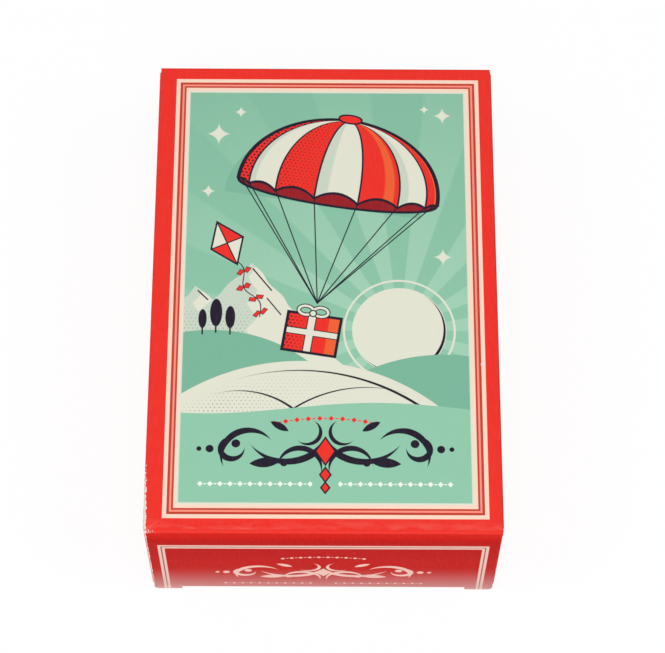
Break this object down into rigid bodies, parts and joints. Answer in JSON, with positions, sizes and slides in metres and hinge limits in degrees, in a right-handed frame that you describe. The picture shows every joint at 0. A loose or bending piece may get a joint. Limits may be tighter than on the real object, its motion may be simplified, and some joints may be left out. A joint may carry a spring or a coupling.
{
  "type": "boxed toy parachutist",
  "caption": "Shallow tuck-end carton with hinged end lids, tuck and dust flaps, holding a toy parachutist looped to its folded cloth parachute.",
  "frame": {"origin": "middle of the carton's back face, which it lies on", "axes": "+Z out of the printed front, +Y towards the head end of the print, +X to the print's right"},
  "size_m": [0.093, 0.1388, 0.0442],
  "materials": {
    "printed_card": "satin coated print, white inside",
    "plain_card": "uncoated",
    "red_plastic": "moulded",
    "navy_ripstop": "thin ripstop weave",
    "navy_webbing": "narrow woven webbing"
  },
  "bodies": {
    "carton": {"front_panel": "printed_card", "back_panel": "printed_card", "left_side_panel": "printed_card", "right_side_panel": "printed_card", "glue_flap": "plain_card"},
    "foot_lid_body": {"foot_lid": "printed_card"},
    "foot_tuck_body": {"foot_tuck_flap": "printed_card"},
    "foot_dust_left_body": {"foot_dust_flap_left": "printed_card"},
    "foot_dust_right_body": {"foot_dust_flap_right": "printed_card"},
    "head_lid_body": {"head_lid": "printed_card"},
    "head_tuck_body": {"head_tuck_flap": "printed_card"},
    "head_dust_left_body": {"head_dust_flap_left": "printed_card"},
    "head_dust_right_body": {"head_dust_flap_right": "printed_card"},
    "toy": {"parachutist_figure": "red_plastic", "canopy": "navy_ripstop", "band_1": "navy_ripstop", "band_2": "navy_ripstop", "band_3": "navy_ripstop", "band_4": "navy_ripstop", "riser_strap": "navy_webbing"}
  },
  "joints": [
    {"name": "foot_lid_hinge", "type": "hinge", "parent": "carton", "child": "foot_lid_body", "pos_m": [0, -0.0689, 0.0437], "axis": [-1, 0, 0], "range_deg": [0, 120]},
    {"name": "foot_tuck_hinge", "type": "hinge", "parent": "foot_lid_body", "child": "foot_tuck_body", "pos_m": [0, -0.0689, 0.0018], "axis": [1, 0, 0], "range_deg": [0, 54]},
    {"name": "foot_dust_left_hinge", "type": "hinge", "parent": "carton", "child": "foot_dust_left_body", "pos_m": [-0.046, -0.0681, 0.0221], "axis": [0, 0, -1], "range_deg": [0, 36]},
    {"name": "foot_dust_right_hinge", "type": "hinge", "parent": "carton", "child": "foot_dust_right_body", "pos_m": [0.046, -0.0681, 0.0221], "axis": [0, 0, 1], "range_deg": [0, 36]},
    {"name": "head_lid_hinge", "type": "hinge", "parent": "carton", "child": "head_lid_body", "pos_m": [0, 0.0689, 0.0437], "axis": [1, 0, 0], "range_deg": [0, 120]},
    {"name": "head_tuck_hinge", "type": "hinge", "parent": "head_lid_body", "child": "head_tuck_body", "pos_m": [0, 0.0689, 0.0018], "axis": [-1, 0, 0], "range_deg": [0, 54]},
    {"name": "head_dust_left_hinge", "type": "hinge", "parent": "carton", "child": "head_dust_left_body", "pos_m": [-0.046, 0.0681, 0.0221], "axis": [0, 0, 1], "range_deg": [0, 36]},
    {"name": "head_dust_right_hinge", "type": "hinge", "parent": "carton", "child": "head_dust_right_body", "pos_m": [0.046, 0.0681, 0.0221], "axis": [0, 0, -1], "range_deg": [0, 36]},
    {"name": "toy_slide", "type": "slide", "parent": "carton", "child": "toy", "axis": [0, 1, 0], "range_m": [-0.003, 0.004]}
  ],
  "couplings": [
    {"joint": "foot_tuck_hinge", "follows": "foot_lid_hinge", "ratio": 0.45},
    {"joint": "foot_dust_left_hinge", "follows": "foot_lid_hinge", "ratio": 0.3},
    {"joint": "foot_dust_right_hinge", "follows": "foot_lid_hinge", "ratio": 0.3},
    {"joint": "head_tuck_hinge", "follows": "head_lid_hinge", "ratio": 0.45},
    {"joint": "head_dust_left_hinge", "follows": "head_lid_hinge", "ratio": 0.3},
    {"joint": "head_dust_right_hinge", "follows": "head_lid_hinge", "ratio": 0.3}
  ]
}
